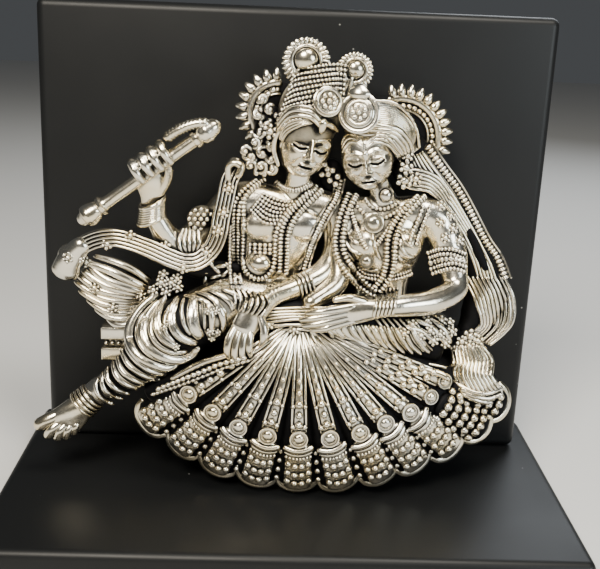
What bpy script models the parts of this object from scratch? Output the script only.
"""A seated couple in cast silver, leaning head to head, on a black stand.

The casting is one solid: two crowned figures, a low seat, a pleated skirt spread
like a shell, a flute and the draperies. The stand is a base board and a back
panel. Metres, +Z up, the front faces -Y, and the origin is under the middle of
the base board.

The casting is drawn in millimetres on a figure 212.5 mm tall. In the drawing x
runs from the panel's middle, y is 0 on the panel's face and negative in front of
it, and z is 0 on top of the base board.
"""

import math

import bmesh
import bpy
from mathutils import Matrix, Vector
from mathutils.bvhtree import BVHTree

# Stand
BASE_WIDTH = 0.272
BASE_DEPTH = 0.150
BASE_THICK = 0.012
PANEL_WIDTH = 0.250
PANEL_HEIGHT = 0.225
PANEL_THICK = 0.010
PANEL_SETBACK = 0.113  # from the base's front edge to the panel's face
EDGE_RADIUS = 0.003
EDGE_STEPS = 3
JOINT_GAP = 0.0003

# Casting
FIGURE_HEIGHT = 0.2125
DRAWN_HEIGHT = 212.5
UNIT = FIGURE_HEIGHT / DRAWN_HEIGHT
VOXEL = 0.95 * UNIT
CAST_TRIANGLES = 9200
TRIALS = 10
TRIAL_STEP = 0.012
LIMB_SIDES = 12
PATH_STEPS = 5
CAP_STEPS = ((0.5, 0.866), (0.87, 0.5))

PANEL_FACE_Y = PANEL_SETBACK - BASE_DEPTH / 2
CAST_FOOT_Z = BASE_THICK + JOINT_GAP

# Skirt: scallop middles along the hem, from the left, as (x, y, z)
SKIRT_TOP = (4.0, -47.0, 85.0)
HEM = (
    (-66.0, -44.0, 31.0),
    (-50.0, -49.0, 21.0),
    (-33.0, -53.0, 13.0),
    (-14.0, -57.0, 9.5),
    (6.0, -59.0, 8.5),
    (26.0, -60.0, 10.0),
    (45.5, -58.0, 13.5),
    (62.0, -55.0, 19.0),
    (78.5, -50.0, 25.0),
    (93.5, -44.0, 33.0),
    (103.0, -38.0, 42.0),
)
HEM_HALF_WIDTH = 10.2
PLEAT_BULGE = 9.0


def remove_everything():
    """Empties the scene."""
    for thing in list(bpy.data.objects):
        bpy.data.objects.remove(thing, do_unlink=True)


def principled(name, colour, roughness, metallic):
    """A plain finish."""
    finish = bpy.data.materials.new(name)
    finish.use_nodes = True
    shader = finish.node_tree.nodes["Principled BSDF"]
    shader.inputs["Base Color"].default_value = (*colour, 1.0)
    shader.inputs["Roughness"].default_value = roughness
    shader.inputs["Metallic"].default_value = metallic
    return finish


def link_mesh(name, bm, finish):
    """An object with bm's faces and that finish."""
    mesh = bpy.data.meshes.new(name)
    bm.to_mesh(mesh)
    bm.free()
    mesh.materials.append(finish)
    obj = bpy.data.objects.new(name, mesh)
    bpy.context.scene.collection.objects.link(obj)
    return obj


def board(name, low, high, finish):
    """A board between two corners, with rounded edges."""
    bm = bmesh.new()
    size = Vector(high) - Vector(low)
    middle = (Vector(high) + Vector(low)) / 2
    bmesh.ops.create_cube(bm, size=1.0, matrix=Matrix.Diagonal((*size, 1.0)))
    obj = link_mesh(name, bm, finish)
    obj.location = middle
    rounding = obj.modifiers.new("rounded edges", "BEVEL")
    rounding.width = EDGE_RADIUS
    rounding.segments = EDGE_STEPS
    return obj


def smooth_path(stations, steps=PATH_STEPS):
    """Stations along a smooth curve through the given ones, tuples of any length."""
    ends = [stations[0], *stations, stations[-1]]
    found = []
    for i in range(1, len(ends) - 2):
        before, start, end, after = ends[i - 1 : i + 3]
        for k in range(steps):
            t = k / steps
            found.append(
                tuple(
                    0.5
                    * (
                        2 * b
                        + (c - a) * t
                        + (2 * a - 5 * b + 4 * c - d) * t * t
                        + (3 * b - a - 3 * c + d) * t**3
                    )
                    for a, b, c, d in zip(before, start, end, after, strict=True)
                )
            )
    found.append(tuple(float(v) for v in stations[-1]))
    return found


def section_axes(tangent):
    """The directions of a section's width and depth, for a path that runs along tangent."""
    depth = Vector((0.0, 1.0, 0.0))
    depth -= tangent * depth.dot(tangent)
    if depth.length < 0.2:
        depth = Vector((0.0, 0.0, 1.0))
        depth -= tangent * depth.dot(tangent)
    depth.normalize()
    return tangent.cross(depth).normalized(), depth


def skin(bm, rings, tips):
    """Closes a row of rings into one shell, with a point at each end."""
    loops = [[bm.verts.new(p) for p in ring] for ring in rings]
    first, last = (bm.verts.new(p) for p in tips)
    sides = len(rings[0])
    for a, b in zip(loops, loops[1:], strict=False):
        for i in range(sides):
            j = (i + 1) % sides
            bm.faces.new((a[i], a[j], b[j], b[i]))
    for i in range(sides):
        j = (i + 1) % sides
        bm.faces.new((first, loops[0][j], loops[0][i]))
        bm.faces.new((last, loops[-1][i], loops[-1][j]))


def limb(bm, stations, sides=LIMB_SIDES, steps=PATH_STEPS):
    """A round-ended form along (x, y, z, half_width, half_depth) stations."""
    path = smooth_path(stations, steps)
    points = [Vector(s[:3]) for s in path]
    rings = []
    for i, (point, station) in enumerate(zip(points, path, strict=True)):
        tangent = (points[min(i + 1, len(points) - 1)] - points[max(i - 1, 0)]).normalized()
        width, depth = section_axes(tangent)
        rings.append((point, tangent, width, depth, station[3], station[4]))
    shell = []
    for end, sign in ((0, -1.0), (-1, 1.0)):
        point, tangent, width, depth, half_width, half_depth = rings[end]
        reach = min(half_width, half_depth)
        caps = [
            (point + tangent * sign * reach * out, tangent, width, depth, half_width * k, half_depth * k)
            for out, k in CAP_STEPS
        ]
        shell.append((caps, point + tangent * sign * reach))
    rows = [*reversed(shell[0][0]), *rings, *shell[1][0]]
    loops = [
        [
            point + width * half_width * math.cos(turn) + depth * half_depth * math.sin(turn)
            for turn in (2 * math.pi * k / sides for k in range(sides))
        ]
        for point, tangent, width, depth, half_width, half_depth in rows
    ]
    skin(bm, loops, (shell[0][1], shell[1][1]))


def cord(bm, points, radius, sides=8, steps=PATH_STEPS):
    """A round form of one thickness."""
    limb(bm, [(*p, radius, radius) for p in points], sides, steps)


def ball(bm, centre, radii, lean=0.0):
    """An ellipsoid. Lean turns it about Y, in degrees, to the right as seen from the front."""
    place = (
        Matrix.Translation(Vector(centre))
        @ Matrix.Rotation(math.radians(lean), 4, "Y")
        @ Matrix.Diagonal((*radii, 1.0))
    )
    bmesh.ops.create_uvsphere(bm, u_segments=20, v_segments=14, radius=1.0, matrix=place)


def block(bm, low, high):
    """A box between two corners."""
    size = Vector(high) - Vector(low)
    place = Matrix.Translation((Vector(high) + Vector(low)) / 2) @ Matrix.Diagonal((*size, 1.0))
    bmesh.ops.create_cube(bm, size=1.0, matrix=place)


def coin(bm, centre, radius, thick, lean=0.0):
    """A domed disc that faces forward."""
    ball(bm, centre, (radius, thick, radius), lean)


def wrap(bm, centre, tangent, half_width, half_depth, radius, sag=0.0, start=-15, end=195, sides=6):
    """A fold or bangle round the front of a limb, from one angle to another in degrees."""
    along = Vector(tangent).normalized()
    width, depth = section_axes(along)
    middle = Vector(centre)
    points = []
    count = 9
    for k in range(count):
        turn = math.radians(start + (end - start) * k / (count - 1))
        front = math.sin(turn)
        points.append(
            middle
            + width * half_width * math.cos(turn)
            - depth * half_depth * front
            + along * sag * front
        )
    cord(bm, [tuple(p) for p in points], radius, sides, steps=2)


def sunburst(bm, centre, inner, outer, first, last, count, thick):
    """A ring plate behind a head with a row of pointed petals on its rim."""
    x, y, z = centre
    rim = [
        (
            x + inner * math.cos(math.radians(first + (last - first) * k / 12)),
            y,
            z + inner * math.sin(math.radians(first + (last - first) * k / 12)),
        )
        for k in range(13)
    ]
    cord(bm, rim, thick, steps=2)
    ball(bm, centre, (inner, thick, inner))
    for k in range(count):
        turn = math.radians(first + (last - first) * k / (count - 1))
        reach = outer - inner
        start, tip = inner + 0.1 * reach, inner + 0.8 * reach
        limb(
            bm,
            [
                (x + start * math.cos(turn), y, z + start * math.sin(turn), 1.6, 1.6),
                (x + tip * math.cos(turn), y, z + tip * math.sin(turn), 1.1, 1.1),
            ],
            sides=6,
            steps=2,
        )


def pleat_path(hem, bulge, rise=0.0):
    """Stations of one pleat, from the lap to the hem, without its section."""
    top, low = Vector(SKIRT_TOP) + Vector((0.0, 0.0, rise)), Vector(hem)
    return [
        tuple(top.lerp(low, t) + Vector((0.0, -1.0, 0.35)) * bulge * 4 * t * (1 - t))
        for t in (0.0, 0.2, 0.4, 0.6, 0.8, 1.0)
    ]


def skirt(bm):
    """The shell of pleats over both laps, each ending in a scallop."""
    ball(bm, (18.0, -31.0, 45.0), (78.0, 22.0, 37.0))
    for hem in HEM:
        shares = (0.16, 0.26, 0.42, 0.62, 0.84, 0.95)
        limb(
            bm,
            [
                (*spot, HEM_HALF_WIDTH * share, 2.2 + 3.2 * share)
                for spot, share in zip(pleat_path(hem, PLEAT_BULGE), shares, strict=True)
            ],
            sides=10,
            steps=3,
        )
        x, y, z = pleat_path(hem, PLEAT_BULGE)[3]
        ball(bm, (x, y - 4.6, z), (3.4, 2.4, 3.4))


def seat(bm):
    """The low seat with its two mouldings, the plain foot the skirt hides, and the ground
    behind both trunks."""
    block(bm, (-92.5, -26.0, 64.6), (84.0, -5.0, 71.2))
    block(bm, (-89.5, -23.5, 59.0), (81.0, -6.0, 66.0))
    block(bm, (-92.5, -26.0, 53.8), (84.0, -5.0, 60.4))
    block(bm, (-46.0, -34.0, 16.0), (66.0, -6.0, 55.0))
    block(bm, (-14.0, -40.0, -3.0), (27.0, -8.0, 20.0))
    limb(bm, [(14.0, -17.0, 80.0, 62.0, 9.0), (18.0, -18.0, 112.0, 46.0, 7.0), (21.0, -19.0, 132.0, 38.0, 6.0)])


def flute_player_body(bm):
    """The left figure's trunk, head and crown."""
    ball(bm, (-10.0, -26.0, 88.0), (27.0, 17.0, 15.0))
    limb(
        bm,
        [
            (-11.0, -25.0, 90.0, 18.0, 12.0),
            (-10.0, -25.5, 104.0, 14.5, 10.5),
            (-6.5, -26.0, 122.0, 18.5, 12.0),
            (-4.0, -26.0, 134.0, 20.0, 10.0),
        ],
    )
    limb(bm, [(-0.5, -28.0, 138.0, 6.5, 6.0), (1.5, -31.0, 153.0, 6.0, 6.0)])
    ball(bm, (3.6, -31.0, 166.0), (12.2, 12.8, 15.0), 18.0)
    limb(
        bm,
        [
            (4.0, -31.0, 176.0, 13.6, 13.0),
            (7.0, -30.5, 186.0, 13.4, 12.4),
            (9.5, -30.0, 193.0, 9.0, 8.5),
        ],
    )
    cord(bm, [(-7.5, -37.0, 179.5), (1.0, -43.5, 178.5), (10.0, -43.0, 181.5), (16.5, -35.0, 186.0)], 1.8)
    cord(bm, [(6.4, -42.5, 170.0), (7.3, -45.0, 163.5)], 1.7, steps=2)
    coin(bm, (12.0, -43.0, 187.0), 6.4, 2.4, 15.0)
    for middle, radii, lean in (
        ((1.6, -28.5, 202.5), (10.2, 2.6, 10.0), -4.0),
        ((23.4, -28.5, 199.0), (7.0, 2.4, 8.4), 20.0),
    ):
        ball(bm, middle, radii, lean)
        ball(bm, (middle[0], middle[1] - 2.2, middle[2] + 0.2), (radii[0] * 0.42,) * 3)
    limb(bm, [(7.0, -29.0, 188.0, 5.0, 3.0), (2.5, -28.5, 198.0, 8.0, 2.6)])
    limb(bm, [(16.0, -29.0, 184.0, 4.0, 3.0), (21.5, -28.5, 194.0, 5.0, 2.4)])
    sunburst(bm, (-9.0, -20.0, 178.6), 13.6, 19.6, 92.0, 228.0, 11, 2.0)
    limb(bm, [(-14.0, -27.0, 172.0, 4.0, 5.0), (-15.0, -30.0, 158.0, 4.2, 5.0), (-19.0, -27.0, 152.0, 4.5, 3.5)])


def flute_player_arms(bm):
    """The raised arm with the flute, and the arm that rests on the lap."""
    limb(
        bm,
        [
            (-8.0, -26.0, 136.0, 9.0, 9.0),
            (-26.0, -26.0, 136.0, 9.5, 9.0),
            (-40.0, -28.0, 124.0, 8.0, 7.5),
            (-54.0, -32.0, 113.5, 7.0, 7.0),
        ],
    )
    limb(
        bm,
        [
            (-54.5, -33.0, 113.5, 6.6, 6.6),
            (-61.0, -36.0, 124.0, 6.0, 6.0),
            (-65.8, -38.5, 134.0, 5.0, 4.8),
            (-66.5, -41.0, 141.0, 5.0, 4.4),
        ],
    )
    limb(bm, [(-66.8, -38.5, 130.5, 7.4, 7.0), (-66.0, -39.0, 137.5, 7.0, 6.6)])
    flute_start, flute_end = Vector((-92.5, -47.0, 132.2)), Vector((-41.0, -47.0, 171.0))
    cord(bm, [tuple(flute_start), tuple(flute_start.lerp(flute_end, 0.5)), tuple(flute_end)], 3.2, 10)
    for share, radius in ((0.0, 4.9), (0.1, 4.6), (0.92, 4.4), (1.0, 4.6)):
        ball(bm, flute_start.lerp(flute_end, share), (radius, radius, radius))
    cord(bm, [(-41.0, -47.0, 173.0), (-50.0, -47.5, 172.5), (-56.0, -47.5, 169.0)], 2.2)
    for k in range(4):
        knuckle = Vector((-70.5 + 3.9 * k, -50.5, 150.0 + 3.0 * k))
        limb(
            bm,
            [
                (knuckle.x - 1.5, -41.0, knuckle.z + 1.0, 2.3, 2.3),
                (knuckle.x, -50.5, knuckle.z + 1.5, 2.4, 2.4),
                (knuckle.x + 3.0, -50.0, knuckle.z - 4.5, 2.1, 2.1),
            ],
            sides=8,
            steps=3,
        )
    cord(bm, [(-63.0, -41.0, 141.0), (-56.5, -43.0, 146.0), (-54.0, -46.0, 154.5)], 2.5)
    ball(bm, (-66.0, -41.0, 147.5), (7.6, 4.2, 7.0))
    limb(
        bm,
        [
            (6.0, -26.0, 136.0, 8.0, 8.0),
            (19.0, -27.0, 133.0, 8.0, 8.0),
            (21.0, -31.0, 117.0, 6.6, 6.6),
            (15.0, -37.0, 106.0, 6.2, 6.2),
            (2.0, -46.0, 101.0, 5.4, 5.2),
            (-8.0, -50.5, 98.0, 4.4, 4.4),
            (-16.0, -55.0, 92.5, 5.8, 3.6),
            (-20.5, -56.5, 86.5, 5.6, 3.2),
        ],
    )
    limb(bm, [(-1.5, -48.0, 100.6, 6.6, 6.4), (3.5, -45.5, 102.0, 6.8, 6.6)], steps=2)
    limb(bm, [(-39.5, -27.5, 125.5, 9.4, 9.0), (-46.0, -29.5, 119.5, 8.8, 8.6)], steps=2)
    for k in range(4):
        cord(
            bm,
            [
                (-24.0 + 3.0 * k, -57.0, 87.5 - 1.2 * k),
                (-26.8 + 3.0 * k, -58.5, 80.0 - 0.6 * k),
                (-26.5 + 2.8 * k, -57.5, 73.5 + 1.2 * k),
            ],
            1.7,
        )


def flute_player_leg(bm):
    """The bent leg in its wound cloth, with the bare foot."""
    limb(
        bm,
        [
            (-6.0, -32.0, 88.0, 14.0, 13.0),
            (-30.0, -40.0, 88.0, 14.5, 13.0),
            (-50.0, -46.0, 80.0, 14.0, 12.0),
            (-62.0, -46.5, 69.0, 13.0, 10.5),
            (-75.0, -44.0, 56.0, 9.5, 8.5),
            (-87.0, -42.0, 48.0, 6.6, 6.4),
        ],
    )
    limb(
        bm,
        [
            (-86.0, -42.0, 48.0, 5.6, 5.6),
            (-95.0, -41.5, 40.5, 5.4, 5.2),
            (-104.0, -43.5, 32.0, 6.6, 4.6),
            (-110.0, -45.5, 26.0, 7.6, 3.4),
        ],
    )
    for root, tip, radius in (
        ((-106.0, -44.5, 31.5), (-118.5, -46.5, 26.0), 2.9),
        ((-107.0, -45.5, 27.5), (-113.5, -47.0, 20.0), 2.1),
        ((-104.5, -45.5, 26.5), (-109.0, -47.0, 18.4), 2.0),
        ((-101.5, -45.0, 27.0), (-105.0, -46.5, 18.6), 1.9),
        ((-98.5, -44.0, 28.5), (-101.0, -45.0, 20.5), 1.8),
    ):
        cord(bm, [root, tip], radius)
    for k in range(5):
        share = k / 4
        wrap(bm, (-47.0 - 13.0 * share, -45.0, 81.0 - 12.0 * share), (-1.0, 0.0, -1.0 - 0.3 * share), 14.6, 12.6, 1.7, 5.0)
    for k in range(5):
        share = k / 4
        wrap(
            bm,
            (-66.0 - 20.0 * share, -45.0 + 2.5 * share, 65.0 - 16.0 * share),
            (-1.0, 0.1, -0.8),
            12.2 - 5.0 * share,
            10.0 - 3.0 * share,
            1.4,
            3.0,
        )
    for k in range(5):
        wrap(bm, (-22.0 - 6.0 * k, -37.5 - 1.8 * k, 88.5 - 0.8 * k), (-1.0, -0.2, 0.1 - 0.1 * k), 13.8, 12.6, 2.0, 2.0)


def draperies(bm):
    """The stole, the fan of cloth behind the knee, the veil and the cloth end."""
    limb(
        bm,
        [
            (-28.0, -33.0, 152.0, 4.0, 3.0),
            (-31.0, -37.0, 142.0, 5.0, 3.0),
            (-33.0, -40.0, 128.0, 5.4, 3.2),
            (-38.0, -43.0, 115.5, 5.4, 3.4),
            (-48.5, -44.0, 109.3, 5.2, 3.4),
            (-61.0, -44.0, 112.6, 5.0, 3.4),
            (-75.0, -42.5, 118.5, 4.6, 3.2),
            (-87.0, -41.0, 120.4, 4.2, 3.0),
            (-96.5, -39.5, 115.7, 4.2, 3.0),
            (-103.0, -38.5, 108.5, 5.0, 4.4),
        ],
    )
    cord(bm, [(-30.0, -30.0, 146.0), (-45.0, -36.0, 122.0), (-56.0, -38.0, 113.0)], 4.6)
    for k in range(8):
        share = k / 7
        turn = math.radians(156.0 + 72.0 * share)
        reach = 34.0 + 10.0 * math.sin(math.pi * share)
        tip = (-61.0 + reach * math.cos(turn), -29.0, 92.0 + reach * 0.86 * math.sin(turn))
        middle = (
            -61.0 + 0.5 * reach * math.cos(turn) - 1.0,
            -35.0,
            92.0 + 0.5 * reach * 0.86 * math.sin(turn) - 3.0,
        )
        limb(
            bm,
            [(-58.0, -37.0, 91.0, 3.0, 4.0), (*middle, 3.6, 3.2), (*tip, 1.8, 1.8)],
            sides=8,
            steps=3,
        )
    ball(bm, (-59.0, -40.0, 91.0), (7.0, 5.0, 6.0))
    limb(
        bm,
        [
            (52.0, -24.0, 164.0, 10.0, 6.0),
            (62.0, -23.0, 154.0, 10.0, 5.5),
            (74.0, -22.5, 140.0, 8.5, 5.0),
            (84.0, -22.5, 124.0, 8.0, 5.0),
            (92.0, -23.0, 108.0, 9.5, 6.0),
            (95.5, -25.0, 94.0, 10.5, 7.5),
            (93.0, -27.0, 82.0, 8.5, 7.0),
        ],
    )
    for k in range(6):
        share = k / 5
        cord(
            bm,
            [
                (84.0 - 2.0 * share, -31.0 - 2.0 * share, 112.0 - 12.0 * share),
                (94.0 - 3.0 * share, -33.0, 105.0 - 11.0 * share),
                (100.0 - 2.0 * share, -32.0, 95.0 - 9.0 * share),
                (98.0 - 8.0 * share, -32.0, 82.0 - 5.0 * share),
            ],
            1.7,
        )
    cord(bm, [(67.0, -24.0, 157.5), (81.0, -24.5, 138.0), (89.5, -24.5, 125.0), (100.5, -26.0, 106.5)], 2.6)
    for k in range(7):
        share = k / 6
        limb(
            bm,
            [
                (80.0 + 17.0 * share, -38.5 + 4.0 * share, 74.0 - 3.0 * share, 2.4, 3.6),
                (84.0 + 16.0 * share, -41.5 + 4.0 * share, 66.0 - 2.0 * share, 2.4, 4.4),
                (83.0 + 21.0 * share, -43.5 + 5.0 * share, 57.0 - 2.0 * share, 2.6, 4.6),
                (87.0 + 22.0 * share, -43.5 + 8.0 * share, 50.5 - 4.0 * share, 2.6, 4.0),
            ],
            sides=8,
            steps=3,
        )
    ball(bm, (87.5, -37.0, 74.5), (7.5, 4.5, 3.5))


def companion_body(bm):
    """The right figure's trunk, head, crown and hips."""
    ball(bm, (42.0, -33.0, 84.0), (38.0, 19.0, 12.5))
    limb(
        bm,
        [
            (43.0, -27.0, 88.0, 14.0, 11.0),
            (43.0, -27.5, 100.0, 12.0, 10.0),
            (41.5, -28.5, 118.0, 17.5, 12.5),
            (45.0, -27.5, 133.0, 18.0, 9.0),
        ],
    )
    for side in (-1, 1):
        ball(bm, (41.0 + 8.0 * side, -37.0, 117.5), (7.0, 6.0, 7.0))
    limb(bm, [(44.5, -29.0, 137.0, 6.0, 6.0), (38.0, -32.0, 151.0, 5.2, 5.2)])
    ball(bm, (33.4, -32.0, 161.0), (12.0, 12.6, 15.0), -16.0)
    ball(bm, (38.0, -28.0, 170.5), (17.5, 13.5, 13.0), 18.0)
    cord(bm, [(23.0, -41.0, 173.5), (30.0, -44.0, 171.0), (40.0, -42.5, 168.0), (50.0, -35.0, 163.0)], 2.2)
    cord(bm, [(31.0, -43.5, 162.0), (30.8, -45.6, 155.5)], 1.7, steps=2)
    coin(bm, (26.0, -44.0, 181.5), 8.6, 2.4)
    ball(bm, (27.5, -43.5, 188.0), (3.2, 2.0, 4.4))
    sunburst(bm, (48.6, -20.0, 168.6), 18.4, 24.2, -30.0, 104.0, 14, 2.0)
    ball(bm, (52.5, -33.5, 157.0), (4.6, 4.6, 6.5))


def companion_arms(bm):
    """The arm across the lap and the one behind the garland."""
    limb(
        bm,
        [
            (48.0, -27.5, 134.0, 8.0, 8.0),
            (66.0, -27.0, 132.5, 9.0, 8.5),
            (75.0, -29.0, 117.0, 8.2, 8.0),
            (77.5, -33.0, 106.0, 6.8, 6.8),
            (77.0, -37.5, 99.5, 6.4, 6.2),
            (66.0, -46.0, 96.2, 6.2, 5.8),
            (52.0, -52.0, 95.6, 5.2, 5.0),
            (42.0, -54.5, 95.0, 4.4, 4.2),
            (28.0, -57.0, 93.0, 5.4, 3.2),
        ],
    )
    for k in range(4):
        cord(bm, [(27.0, -57.5, 95.2 - 2.2 * k), (14.0, -58.5, 93.6 - 2.6 * k), (6.0, -57.5, 92.0 - 2.8 * k)], 1.7)
    limb(bm, [(41.0, -54.0, 95.2, 6.0, 5.8), (48.5, -53.0, 95.6, 6.2, 6.0)], steps=2)
    limb(bm, [(76.0, -29.5, 114.5, 9.6, 9.2), (77.0, -31.5, 108.5, 8.6, 8.4)], steps=2)
    limb(
        bm,
        [
            (40.0, -27.5, 133.0, 8.0, 8.0),
            (25.0, -28.0, 132.0, 7.5, 7.5),
            (22.0, -34.0, 116.0, 6.0, 6.0),
            (21.0, -42.0, 103.0, 5.4, 5.4),
            (9.0, -50.0, 95.0, 4.6, 4.4),
        ],
    )


def garlands(bm):
    """The broad strings of beads that hang over both chests."""
    for points, radius in (
        (((-24.0, -35.0, 141.0), (-27.5, -38.5, 130.0), (-27.0, -38.5, 112.0), (-26.5, -39.5, 99.0)), 2.4),
        (((8.0, -37.0, 139.0), (-5.0, -39.5, 124.0), (-9.0, -40.0, 108.0), (-9.5, -41.0, 99.0)), 2.4),
        (((10.5, -37.0, 138.0), (1.0, -40.0, 122.0), (-3.5, -40.5, 108.0), (-4.5, -42.0, 99.5)), 2.2),
        (((25.0, -37.0, 142.0), (21.0, -40.0, 124.0), (23.0, -42.0, 110.0), (38.0, -46.0, 100.0)), 2.4),
        (((59.0, -37.0, 141.0), (49.5, -43.0, 125.0), (46.0, -44.0, 112.0), (39.0, -46.0, 100.0)), 2.4),
    ):
        cord(bm, points, radius)
    cord(bm, [(-13.0, -36.0, 141.5), (-1.5, -38.0, 136.5), (9.0, -36.0, 141.5)], 2.0)
    coin(bm, (-15.0, -40.5, 108.5), 4.4, 3.0)
    coin(bm, (-10.0, -55.0, 76.0), 5.4, 3.0)
    coin(bm, (40.5, -41.5, 128.0), 4.6, 2.2)
    coin(bm, (37.5, -44.0, 112.0), 3.6, 2.4)


def laps(bm):
    """The gathered cloth over both laps, in front of the trunks."""
    limb(bm, [(-14.0, -42.0, 88.0, 9.0, 9.0), (8.0, -46.0, 87.0, 9.0, 8.0), (35.0, -45.0, 86.0, 9.0, 9.0), (66.0, -38.0, 82.0, 9.0, 9.0)])
    for k in range(7):
        share = k / 6
        x = 34.0 + 42.0 * share
        cord(
            bm,
            [
                (x, -47.0 + 8.0 * share, 91.0 - 4.0 * share),
                (x + 3.0, -50.5 + 9.0 * share, 82.0 - 5.0 * share),
                (x + 5.0, -49.0 + 9.0 * share, 72.0 - 4.0 * share),
            ],
            2.6,
        )


def casting(finish):
    """The whole casting as one closed solid with a flat foot."""
    bm = bmesh.new()
    for build in (
        seat,
        skirt,
        laps,
        flute_player_body,
        flute_player_arms,
        flute_player_leg,
        companion_body,
        companion_arms,
        draperies,
        garlands,
    ):
        build(bm)
    place = Matrix.Translation((0.0, PANEL_FACE_Y, BASE_THICK)) @ Matrix.Scale(UNIT, 4)
    bmesh.ops.transform(bm, matrix=place, verts=bm.verts)
    bmesh.ops.recalc_face_normals(bm, faces=bm.faces)
    rough = link_mesh("casting_rough", bm, finish)
    melt = rough.modifiers.new("one shell", "REMESH")
    melt.mode = "VOXEL"
    facets = rough.modifiers.new("facets", "DECIMATE")
    for trial in range(TRIALS):
        melt.voxel_size = VOXEL * (1.0 + TRIAL_STEP * trial)
        facets.ratio = 1.0
        melted = sum(len(p.vertices) - 2 for p in evaluated_mesh(rough).polygons)
        facets.ratio = CAST_TRIANGLES / melted
        whole = bmesh.new()
        whole.from_mesh(evaluated_mesh(rough))
        bmesh.ops.triangulate(whole, faces=whole.faces)
        keep_largest(whole)
        flat_foot(whole)
        if is_sound(whole):
            break
    bpy.data.objects.remove(rough, do_unlink=True)
    return link_mesh("silver_casting", whole, finish)


def evaluated_mesh(obj):
    """The mesh with its modifiers."""
    return obj.evaluated_get(bpy.context.evaluated_depsgraph_get()).to_mesh()


def is_sound(bm):
    """True when each edge has two faces and no two separate faces cross."""
    if not all(part.is_manifold for part in (*bm.edges, *bm.verts)):
        return False
    bm.faces.ensure_lookup_table()
    bm.verts.index_update()
    tree = BVHTree.FromBMesh(bm)
    corners = [{v.index for v in face.verts} for face in bm.faces]
    return all(corners[a] & corners[b] for a, b in tree.overlap(tree))


def keep_largest(bm):
    """Drops every shell but the one with the most faces, such as a bubble inside it."""
    bm.faces.ensure_lookup_table()
    left, shells = set(bm.faces), []
    while left:
        todo, shell = [next(iter(left))], set()
        while todo:
            face = todo.pop()
            if face not in left:
                continue
            left.discard(face)
            shell.add(face)
            todo.extend(other for edge in face.edges for other in edge.link_faces if other in left)
        shells.append(shell)
    shells.sort(key=len)
    gone = [face for shell in shells[:-1] for face in shell]
    bmesh.ops.delete(bm, geom=gone, context="FACES")


def flat_foot(bm):
    """Cuts the casting flat just above the base board, and closes the cut."""
    everything = [*bm.verts, *bm.edges, *bm.faces]
    cut = bmesh.ops.bisect_plane(
        bm,
        geom=everything,
        dist=1e-7,
        plane_co=(0.0, 0.0, CAST_FOOT_Z),
        plane_no=(0.0, 0.0, -1.0),
        clear_outer=True,
    )
    rim = [e for e in cut["geom_cut"] if isinstance(e, bmesh.types.BMEdge) and e.is_valid]
    bmesh.ops.triangle_fill(bm, edges=rim, use_beauty=True, normal=(0.0, 0.0, -1.0))
    bmesh.ops.recalc_face_normals(bm, faces=bm.faces)


def main():
    """Builds the stand and the casting."""
    remove_everything()
    black = principled("satin black", (0.012, 0.012, 0.013), 0.38, 0.0)
    silver = principled("oxidised silver", (0.78, 0.76, 0.71), 0.22, 1.0)
    board(
        "base_board",
        (-BASE_WIDTH / 2, -BASE_DEPTH / 2, 0.0),
        (BASE_WIDTH / 2, BASE_DEPTH / 2, BASE_THICK),
        black,
    )
    board(
        "back_panel",
        (-PANEL_WIDTH / 2, PANEL_FACE_Y, BASE_THICK + JOINT_GAP),
        (PANEL_WIDTH / 2, PANEL_FACE_Y + PANEL_THICK, BASE_THICK + JOINT_GAP + PANEL_HEIGHT),
        black,
    )
    casting(silver)


main()
